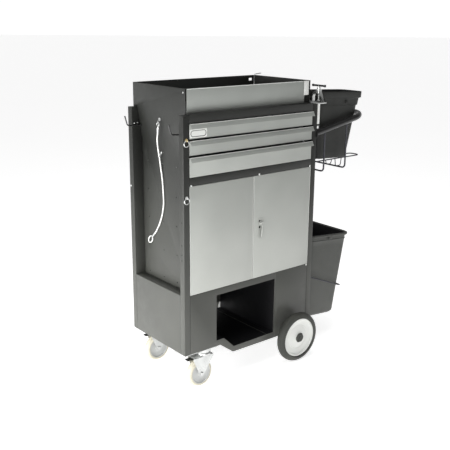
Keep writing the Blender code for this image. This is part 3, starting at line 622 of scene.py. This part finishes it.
def add_casters():
    pivot_x, wheel_x, wheel_z = -0.250, -0.279, 0.0645
    plate_z = 0.1782
    race = [
        (0.004, 0.1440), (0.0270, 0.1440), (0.0300, 0.1470), (0.0310, 0.1540), (0.0290, 0.1580),
        (0.0262, 0.1600), (0.0262, 0.1630), (0.0300, 0.1650), (0.0312, 0.1700), (0.0300, 0.1765),
        (0.004, 0.1778),
    ]
    for side, sy in (("front", -1.0), ("rear", 1.0)):
        y = sy * CASTER_Y
        fork = bmesh.new()
        eye = [(wheel_x + 0.0135 * math.cos(t), wheel_z + 0.0135 * math.sin(t)) for t in
               (math.radians(a) for a in range(200, 341, 20))]
        leg = eye + [(-0.2135, 0.1370), (-0.2125, 0.1405), (-0.2140, 0.1455), (-0.3240, 0.1455),
                     (-0.3255, 0.1405), (-0.3235, 0.1370)]
        for start, end in ((-0.0230, -0.0200), (0.0200, 0.0230)):
            join(fork, plate(leg, "Y", y + start, y + end, 0.0009))
        join(fork, block((-0.3160, y - 0.0228, 0.1418), (-0.2150, y + 0.0228, 0.1458), 0.0010))
        join(fork, turned(race, (pivot_x, y, 0.0), "Z", 48, False))
        piece(f"caster_{side}_fork", fork, "zinc_steel", f"caster_swivel_{side}",
              (f"caster_fork_{side}",), 35.0)
        heads(f"caster_{side}_axle_bolt",
              [((wheel_x, y - 0.0230, wheel_z), (0, -1, 0)), ((wheel_x, y + 0.0230, wheel_z), (0, 1, 0))],
              0.0078, f"caster_swivel_{side}", kind="hex")
        pedal = block((-0.3480, y - 0.0110, 0.1395), (-0.3180, y + 0.0110, 0.1445), 0.0016, 3)
        piece(f"caster_{side}_pedal", pedal, "black_plastic", f"caster_swivel_{side}")
        centre = (wheel_x, y, wheel_z)
        arc = [(0.0555 + 0.0090 * math.cos(t), 0.0165 * math.sin(t)) for t in
               (math.radians(a) for a in range(-80, 81, 16))]
        tread = [(0.0495, -0.0172), (0.0540, -0.0180)] + arc + [(0.0540, 0.0180), (0.0495, 0.0172)]
        piece(f"caster_{side}_tread", turned(tread, centre, "Y", 72), "caster_tread", f"caster_roll_{side}",
              (f"caster_wheel_{side}",), 30.0)
        core = [(0.0066, -0.0186), (0.0130, -0.0186), (0.0150, -0.0172), (0.0170, -0.0110), (0.0400, -0.0105),
                (0.0450, -0.0130), (0.0470, -0.0168), (0.0494, -0.0170)]
        core = core + [(r, -h) for r, h in reversed(core)]
        piece(f"caster_{side}_core", turned(core, centre, "Y", 64), "core_plastic",
              f"caster_roll_{side}", (), 30.0)
        bolts = [((pivot_x + dx, y + dy, plate_z), (0, 0, -1))
                 for dx in (-0.040, 0.040) for dy in (-0.028, 0.028)]
        heads(f"caster_{side}_plate_bolts", bolts, 0.0062, "cart_body", kind="hex")


# ---------------------------------------------------------------- right end
def handle_height(x):
    """Height of the handle tube's axis, which rises to the right."""
    return HANDLE_HEIGHT + (x - 0.381) * HANDLE_RISE


def add_handle():
    start, end, y = 0.3842, 0.738, 0.19
    corners = [(start, -y), (end, -y), (end, y), (start, y)]
    path = rounded_path([(x, across, handle_height(x)) for x, across in corners], 0.080, 16)
    piece("push_handle_tube", tube(path, 0.0145, 28), "black_paint", "cart_body", ("push_handle",))
    section = [(0.0235, 0.0), (0.0240, 0.0015), (0.0180, 0.0040), (0.0160, 0.0075)]
    flange = bmesh.new()
    for sy in (-1.0, 1.0):
        join(flange, turned(section, (WALL_X, sy * y, 1.0838), "X", 40, False))
    piece("handle_flanges", flange, "black_paint", "cart_body")


def add_wires():
    """Hangers, shelf and hoop of round wire on the right end."""
    for name, x in (("hanger_inner", 0.4545), ("hanger_outer", 0.6045)):
        top = handle_height(x) - 0.0155
        corners = ((x, -0.19, top), (x, -0.19, 0.897), (x, 0.19, 0.897), (x, 0.19, top))
        wire = tube(rounded_path(corners, 0.018, 8), 0.0040, 14)
        piece(f"{name}_wire", wire, "dark_wire", "cart_body", (name,))
    for name, y in (("shelf_wire_front", -0.100), ("shelf_wire_rear", 0.010)):
        corners = ((0.3310, y - 0.03, 0.934), (0.777, y - 0.03, 0.934), (0.777, y + 0.03, 0.934),
                   (0.3310, y + 0.03, 0.934))
        wire = tube(rounded_path(corners, 0.020, 8), 0.0030, 12)
        piece(f"{name}_loop", wire, "dark_wire", "cart_body", (name,))
    drops = bmesh.new()
    for low_x, high_x, bottom in ((0.534, 0.575, 0.912), (0.600, 0.645, 0.896)):
        corners = (
            (low_x, -0.1285, 0.9305), (low_x + 0.005, -0.1285, bottom),
            (high_x - 0.005, -0.1285, bottom), (high_x, -0.1285, 0.9305),
        )
        join(drops, tube(rounded_path(corners, 0.009, 6), 0.0022, 10))
    piece("shelf_drop_loops", drops, "dark_wire", "cart_body")

    hoop_x, reach, drop = 0.383, 0.6465, math.tan(math.radians(22.5))
    corners = [(hoop_x, -0.19), (reach, -0.19), (reach, 0.19), (hoop_x, 0.19)]
    corners = [(x, y, 0.3775 - (x - hoop_x) * drop) for x, y in corners]
    hoop = tube(rounded_path(corners, 0.060, 12), 0.0033, 14)
    for sy in (-1.0, 1.0):
        low = (WALL_X, sy * 0.19 - 0.008, 0.3690)
        join(hoop, block(low, (0.3838, sy * 0.19 + 0.008, 0.3900), 0.0006))
    piece("bin_hoop_wire", hoop, "dark_wire", "cart_body", ("bin_hoop",))


def add_bucket():
    layers = [
        (0.1060, 0.0320, 0.030, 0.3243), (0.1095, 0.0355, 0.033, 0.3232), (0.1115, 0.0375, 0.0335, 0.3190),
        (0.1140, 0.0395, 0.034, 0.2900), (0.1375, 0.0557, 0.034, 0.0700), (0.1390, 0.0570, 0.034, 0.0665),
        (0.1428, 0.0598, 0.034, 0.0650), (0.1432, 0.0602, 0.034, 0.0600), (0.1456, 0.0626, 0.034, 0.0345),
        (0.1470, 0.0640, 0.034, 0.0315), (0.1536, 0.0680, 0.034, 0.0300), (0.1550, 0.0692, 0.034, 0.0280),
        (0.1556, 0.0698, 0.034, 0.0040), (0.1550, 0.0694, 0.034, 0.0010), (0.1538, 0.0684, 0.033, 0.0),
        (0.1524, 0.0668, 0.032, 0.0006), (0.1518, 0.0660, 0.031, 0.0040), (0.1420, 0.0585, 0.031, 0.0340),
        (0.1355, 0.0535, 0.031, 0.0660), (0.1100, 0.0360, 0.030, 0.3180), (0.1060, 0.0330, 0.028, 0.3205),
    ]
    # The inside of the bucket is near black, painted shade.
    piece("bucket_shell", container(layers, BUCKET_MIDDLE, BUCKET_LEAN, 16), "black_plastic", "bucket",
          ("bucket",), 50.0, also=("shadow_black",))
    turn = Matrix.Translation(Vector(BUCKET_MIDDLE)) @ Matrix.Rotation(BUCKET_LEAN, 4, "Y")
    section = [(0.0085, -0.004), (0.0085, 0.0010), (0.0070, 0.0030), (0.0035, 0.0032), (0.0030, 0.0015)]
    ears = bmesh.new()
    for sy in (-1.0, 1.0):
        boss = turned(section, (0.038, 0.0, -0.0480), "Y", 28, False)
        mirrored = Matrix.Translation((0.0, sy * 0.0625, 0.0)) @ Matrix.Diagonal((1.0, sy, 1.0, 1.0))
        join(ears, boss, turn @ mirrored)
    piece("bucket_ears", ears, "black_plastic", "bucket")


def add_waste_bin():
    def wall(depth, inset, radius):
        """A loop at a depth under the rim, where the tapering wall is inset by so much."""
        narrowing = 0.009 + inset + depth * BIN_TAPER
        return (0.1485 - narrowing, 0.180 - narrowing, radius, depth)

    layers = [wall(0.4355, 0.016, 0.026), wall(0.4340, 0.011, 0.028), wall(0.4280, 0.0045, 0.032)]
    layers += [wall(0.4220, 0.0010, 0.034), wall(0.4160, 0.0, 0.035)]
    layers += [wall(d, 0.0, 0.036) for d in (0.30, 0.16, 0.060)]
    layers += [wall(0.034, 0.0, 0.036), wall(0.0325, -0.0018, 0.037), wall(0.030, -0.0020, 0.037),
               wall(0.0285, 0.0, 0.036), wall(0.012, 0.0, 0.036)]
    layers += [
        (0.1475, 0.1790, 0.044, 0.0112), (0.1488, 0.1803, 0.045, 0.0095), (0.1490, 0.1805, 0.045, 0.0045),
        (0.1478, 0.1793, 0.044, 0.0012), (0.1450, 0.1765, 0.042, 0.0), (0.1405, 0.1720, 0.038, 0.0008),
    ]
    layers += [wall(0.006, 0.0030, 0.033), wall(0.16, 0.0030, 0.033), wall(0.416, 0.0030, 0.032),
               wall(0.420, 0.0080, 0.028)]
    # The inside of the bin is near black, painted shade.
    piece("waste_bin_shell", container(layers, BIN_MIDDLE, BIN_LEAN, len(layers) - 4), "bin_plastic",
          "waste_bin", ("waste_bin",), 50.0, also=("shadow_black",))
    turn = Matrix.Translation(Vector(BIN_MIDDLE)) @ Matrix.Rotation(BIN_LEAN, 4, "Y")
    lugs = bmesh.new()
    for sy in (-1.0, 1.0):
        low = (-0.010, sy * 0.1770 - 0.003, -0.0260)
        join(lugs, block(low, (0.010, sy * 0.1770 + 0.0005, -0.0100), 0.0012), turn)
    piece("waste_bin_lugs", lugs, "bin_plastic", "waste_bin")


def clamp_yoke_outline(top):
    """The yoke's bent strip, seen from the right: out over the screw and back inside."""
    y = CLAMP_AT[1]
    outer = [(y - 0.040, top), (y - 0.033, top), (y - 0.011, 1.2790), (y - 0.011, 1.2885),
             (y + 0.011, 1.2885), (y + 0.011, 1.2790)]
    outer += [(y + 0.011 + 0.026 * math.sin(t), 1.2560 + 0.0245 * math.cos(t)) for t in
              (math.radians(a) for a in range(15, 91, 15))]
    inner = [(y + 0.037, top), (y + 0.0305, top), (y + 0.0305, 1.2540), (y + 0.026, 1.2650),
             (y + 0.014, 1.2730), (y - 0.010, 1.2730), (y - 0.030, top + 0.0005)]
    return outer + inner


def add_clamp():
    x, y = CLAMP_AT
    top = 1.2325

    def column(section, steps):
        return turned(section, (x, y, 0.0), "Z", steps)

    base = block((0.3570, -0.2320, 1.2270), (0.4120, -0.1250, top), 0.0012)
    join(base, plate(clamp_yoke_outline(top), "X", x - 0.008, x + 0.008, 0.0006))
    join(base, column([(0.0045, 1.2725), (0.0105, 1.2725), (0.0110, 1.2735), (0.0110, 1.2890),
                       (0.0100, 1.2900), (0.0045, 1.2900)], 36))
    piece("clamp_yoke", base, "zinc_steel", "cart_body", ("clamp_base",), 35.0)

    sleeve = [(0.0070, 1.1300), (0.0082, 1.1302), (0.0085, 1.1310), (0.0085, 1.2262), (0.0070, 1.2266)]
    # Painted highlight: the clamp's silver tube is white enamel, standing in for the bright light along it.
    piece("clamp_tube", column(sleeve, 36), "white_disc", "cart_body")
    collar = [(0.0040, 1.1225), (0.0100, 1.1225), (0.0104, 1.1235), (0.0104, 1.1290), (0.0098, 1.1300),
              (0.0040, 1.1300)]
    piece("clamp_tube_collar", column(collar, 36), "black_plastic", "cart_body")
    stem = [(0.0005, 1.1090), (0.0060, 1.1090), (0.0066, 1.1100), (0.0066, 1.1226), (0.0005, 1.1226)]
    piece("clamp_tube_stem", column(stem, 28), "zinc_steel", "cart_body")

    start, turns, half_pitch = 1.2423, 56, 0.00088
    thread = [(0.0040 if i % 2 else 0.0034, start + i * half_pitch) for i in range(turns)]
    screw = column([(0.0008, start)] + thread + [(0.0008, start + turns * half_pitch)], 24)
    join(screw, column([(0.0010, 1.2905), (0.0085, 1.2905), (0.0090, 1.2915), (0.0090, 1.2955),
                        (0.0082, 1.2965), (0.0050, 1.2990), (0.0050, 1.3075), (0.0010, 1.3080)], 28))
    piece("clamp_screw_thread", screw, "zinc_steel", "clamp_screw", ("clamp_screw",))
    half_bar = [(0.0046, 0.0335), (0.0060, 0.0350), (0.0060, 0.0395), (0.0050, 0.0408), (0.0010, 0.0410)]
    bar = [(r, -h) for r, h in reversed(half_bar)] + half_bar
    piece("clamp_tee_bar", turned(bar, (x, y, 1.306), "Y", 24), "black_paint", "clamp_screw")
    pad = [(0.0010, 1.2370), (0.0070, 1.2370), (0.0076, 1.2376), (0.0076, 1.2412), (0.0064, 1.2420),
           (0.0010, 1.2420)]
    piece("clamp_foot", column(pad, 32), "zinc_steel", "clamp_pad", ("clamp_pad",))


# ---------------------------------------------------------------- left end, front and header details
def add_hooks():
    """Two J hooks at the left end, each on a small bent bracket."""
    screws = []
    for side, sy in (("front", -1.0), ("rear", 1.0)):
        y = sy * 0.165
        outer_y, inner_y = sy * 0.1745, sy * 0.1722
        corners = ((-0.3405, y, 1.145), (-0.411, y, 1.150), (-0.4227, y, 1.189))
        hook = tube(rounded_path(corners, 0.010, 8), 0.0030, 14)
        ball = [(0.0034 * math.sin(math.radians(a)) + 0.0002, -0.0034 * math.cos(math.radians(a)))
                for a in range(0, 181, 20)]
        join(hook, turned(ball, (-0.4227, y, 1.189), "Z", 18, False))
        join(hook, block((-0.3790, min(outer_y, inner_y), 1.1440),
                         (-0.3430, max(outer_y, inner_y), 1.1640), 0.0007))
        join(hook, block((-0.3740, min(sy * 0.1735, sy * 0.1640), 1.1442),
                         (-0.3480, max(sy * 0.1735, sy * 0.1640), 1.1470), 0.0006))
        piece(f"hook_{side}_rod", hook, "black_paint", "cart_body", (f"hook_{side}",))
        screws += [((x, inner_y, 1.1565), (0, -sy, 0)) for x in (-0.3710, -0.3545)]
    heads("hook_screws", screws, 0.0036, "cart_body")


def add_rings():
    """Two rings that hang from eyes on the front left post."""
    x, y = -0.3665, -0.2077
    turn = full_turn(40)
    for which, z, material in (("upper", 1.114, "brass_plate"), ("lower", 0.876, "zinc_steel")):
        circle = [Vector((x + 0.0122 * math.cos(t), y, z + 0.0122 * math.sin(t))) for t in turn]
        piece(f"ring_{which}_wire", tube(circle, 0.0019, 12, True), "zinc_steel", f"ring_{which}",
              (f"ring_{which}",))
        eye = [Vector((x, -0.2100 + 0.0050 * math.cos(t), z + 0.0146 + 0.0050 * math.sin(t))) for t in turn]
        shape = tube(eye, 0.0014, 10, True)
        washer = [(0.0010, 0.0), (0.0068, 0.0), (0.0068, 0.0010), (0.0040, 0.0022), (0.0010, 0.0024)]
        place = Matrix.Translation((x, -0.2056, z + 0.0150)) @ Matrix.Rotation(math.radians(90.0), 4, "X")
        join(shape, turned(washer, (0.0, 0.0, 0.0), "Z", 24), place)
        piece(f"ring_{which}_eye", shape, material, "cart_body")


def add_left_screws():
    outward = (-1, 0, 0)
    places = [((-WALL_X, -0.189, z), outward) for z in (0.783, 0.684, 0.643, 0.618)]
    heads("post_front_left_screws", places, 0.0026, "cart_body", "shadow_black")
    places = [((-0.3531, -0.168, 1.3156), outward)]
    places += [((-0.3467, y, 1.209), outward) for y in (-0.160, 0.160)]
    heads("left_wall_screws", places, 0.0036, "cart_body")
    heads("post_rear_left_screw", [((-WALL_X, 0.198, 0.873), outward)], 0.0050, "cart_body")


def add_painted_highlights():
    """Painted highlights: bright silver strips along the lips of the drawers, the edges of the doors and the
    gate's top, standing in for the light their folded edges catch.
    """
    for number, top in enumerate(DRAWER_TOPS, start=1):
        edge = block((-0.3513, -0.2127, top - 0.0032), (0.3513, -0.2113, top + 0.0005), 0.0006)
        piece(f"drawer_{number}_lip_painted_highlight", edge, "painted_highlight_silver", f"drawer_{number}")
    for end, places in (("left", (-0.3499, -0.0025)), ("right", (0.0025, 0.3499))):
        edges = bmesh.new()
        for x in places:
            join(edges, block((x - 0.0009, -0.2059, 0.4590), (x + 0.0009, -0.2052, 0.9335), 0.0003))
        piece(f"{end}_door_painted_highlights", edges, "painted_highlight_silver", f"{end}_door")
    edge = block((-0.3450, -0.1827, 1.3272), (0.3160, -0.1816, 1.3294), 0.0005)
    piece("gate_painted_highlight", edge, "painted_highlight_silver", "gate")


def add_label():
    """A plain plate with an oval line, held by two rivets."""
    x, z = LABEL_AT
    outline = rounded_loop(LABEL_AT, 0.0440, 0.0175, 0.004)
    piece("label_plate", plate(outline, "Y", -0.2068, -0.2057, 0.0004), "white_disc", "drawer_1")
    line = [Vector((u, -0.2071, v)) for u, v in rounded_loop(LABEL_AT, 0.0385, 0.0120, 0.0115)]
    piece("label_border", tube(line, 0.0011, 8, True), "black_plastic", "drawer_1")
    heads("label_rivets", [((x + dx, -0.2068, z), (0, -1, 0)) for dx in (-0.0420, 0.0420)], 0.0016,
          "drawer_1")


def add_latch():
    scutcheon = plate(rounded_loop((0.0440, 0.6905), 0.0150, 0.0495, 0.0100), "Y", -0.2070, -0.2057, 0.0005)
    piece("latch_plate", scutcheon, "silver_paint", "right_door")
    # Painted shade: flat near-black plates stand in for the shade inside the key slot and the lever's recess.
    painted_recess_shade = plate(rounded_loop((0.0370, 0.7190), 0.0045, 0.0105, 0.0030), "Y", -0.2075, -0.2069, 0.0002)
    join(painted_recess_shade, plate(rounded_loop((0.0366, 0.6967), 0.0042, 0.0050, 0.0040), "Y", -0.2075, -0.2069, 0.0002))
    piece("latch_painted_shade", painted_recess_shade, "shadow_black", "right_door")
    grip_y, flatness = -0.2145, 0.62
    grip = [(0.0440, 0.7150), (0.0470, 0.7030), (0.0478, 0.6900), (0.0470, 0.6760), (0.0455, 0.6600),
            (0.0460, 0.6500)]
    route = smooth_route([Vector((x, grip_y, z)) for x, z in grip], 5)
    lever = tube(route, [0.0052 - 0.00002 * i for i in range(len(route))], 16)
    level = Matrix.Translation((0.0, -grip_y, 0.0))
    bmesh.ops.scale(lever, vec=(1.0, flatness, 1.0), space=level, verts=lever.verts)
    boss = [(0.0010, -0.0136), (0.0086, -0.0136), (0.0100, -0.0124), (0.0104, -0.0040), (0.0112, -0.0020),
            (0.0010, -0.0018)]
    join(lever, turned(boss, (0.044, FACE_Y, 0.715), "Y", 36))
    piece("latch_lever_grip", lever, "silver_paint", "latch_lever", ("latch_lever",))


def add_front():
    pins = bmesh.new()
    above, below = (0.9354, 0.9435), (0.4505, 0.4571)
    for x, (low_z, high_z) in ((-0.344, (0.9354, 0.9420)), (0.0297, above), (0.344, above), (0.344, below)):
        join(pins, block((x - 0.0035, -0.2083, low_z), (x + 0.0035, -0.2058, high_z), 0.0009))
    piece("door_pins", pins, "white_disc", "cart_body")

    bracket = block((-0.2060, -0.1700, 0.3400), (-0.2040, -0.1540, 0.3790), 0.0006)
    join(bracket, block((-0.2060, -0.1720, 0.3400), (-0.1900, -0.1695, 0.3560), 0.0006))
    piece("cubby_bracket", bracket, "zinc_steel", "cart_body")
    fold = block((0.0990, -0.2035, 0.1541), (0.1010, 0.2030, 0.1551), 0.0003)
    piece("cubby_fold", fold, "charcoal_paint", "cart_body")
    seams = bmesh.new()
    for x in (-0.3522, 0.3522):
        join(seams, block((x - 0.0004, -0.2057, 0.1840), (x + 0.0004, -0.2053, 0.4550), 0.0001))
    piece("post_seams", seams, "shadow_black", "cart_body")


def add_back():
    rivets = [(sx * 0.338, z) for sx in (-1, 1) for z in (0.22, 0.46, 0.70, 0.94, 1.18)]
    rivets += [(x, z) for x in (-0.17, 0.0, 0.17) for z in (0.455, 0.970, 1.228)]
    places = [((x, 0.2056, z), (0, 1, 0)) for x, z in rivets]
    heads("back_rivets", places, 0.0034, "cart_body", "charcoal_paint", "rivet")
    hook = rounded_path(((0.348, 0.2015, 1.300), (0.348, 0.2015, 1.3345), (0.392, 0.2015, 1.3375)), 0.008, 8)
    piece("header_corner_hook", tube(hook, 0.0026, 12), "zinc_steel", "cart_body")
    places = [((sx * 0.30, y, 1.2291), (0, 0, 1)) for sx in (-1, 1) for y in (-0.12, 0.16)]
    heads("deck_screws", places, 0.0036, "cart_body")


# ---------------------------------------------------------------- floor, light and world
def add_stage():
    bpy.ops.mesh.primitive_plane_add(size=120.0, location=(0.0, 0.0, 0.0))
    floor = bpy.context.object
    floor.name = "floor"
    floor.data.materials.append(MATERIALS["floor_finish"])


def add_light(name, size, energy, location, target):
    data = bpy.data.lights.new(name, "AREA")
    data.shape = "DISK"
    data.size = size
    data.energy = energy
    light = bpy.data.objects.new(name, data)
    bpy.context.scene.collection.objects.link(light)
    light.location = location
    light.rotation_euler = (Vector(target) - Vector(location)).to_track_quat("-Z", "Y").to_euler()


def add_world():
    """A white room that is darker overhead and in front of the cart."""
    world = bpy.data.worlds.new("studio")
    bpy.context.scene.world = world
    world.use_nodes = True
    nodes = world.node_tree.nodes
    link = world.node_tree.links.new
    place = nodes.new("ShaderNodeTexCoord").outputs["Generated"]
    split = nodes.new("ShaderNodeSeparateXYZ")
    link(place, split.inputs[0])
    ramp = nodes.new("ShaderNodeMapRange")
    ramp.interpolation_type = "SMOOTHSTEP"
    set_range(ramp, 0.06, 0.40, 1.05, 0.30)
    link(split.outputs["Z"], ramp.inputs["Value"])
    front = nodes.new("ShaderNodeMapRange")
    front.interpolation_type = "SMOOTHSTEP"
    set_range(front, -0.40, 0.20, 0.42, 1.0)
    link(split.outputs["Y"], front.inputs["Value"])
    strength = nodes.new("ShaderNodeMath")
    strength.operation = "MULTIPLY"
    link(ramp.outputs["Result"], strength.inputs[0])
    link(front.outputs["Result"], strength.inputs[1])
    link(strength.outputs[0], nodes["Background"].inputs["Strength"])
    nodes["Background"].inputs["Color"].default_value = (1.0, 1.0, 1.0, 1.0)


def add_studio():
    add_stage()
    add_world()
    add_light("overhead", 3.0, 60.0, (-0.6, -0.2, 3.6), (-0.2, 0.0, 0.0))
    add_light("low_left", 1.4, 44.0, (-2.2, 0.1, 0.55), (-0.5, 0.0, 0.40))
    add_light("low_front", 1.0, 9.0, (-1.35, -1.45, 0.55), (-0.45, -0.2, 0.45))
    bpy.context.scene.view_settings.view_transform = "Standard"


dress_cad_nodes()
cut_holes()
add_big_wheels()
add_casters()
add_handle()
add_wires()
add_bucket()
add_waste_bin()
add_clamp()
add_hooks()
add_rings()
add_left_screws()
add_painted_highlights()
add_label()
add_latch()
add_front()
add_back()
add_studio()
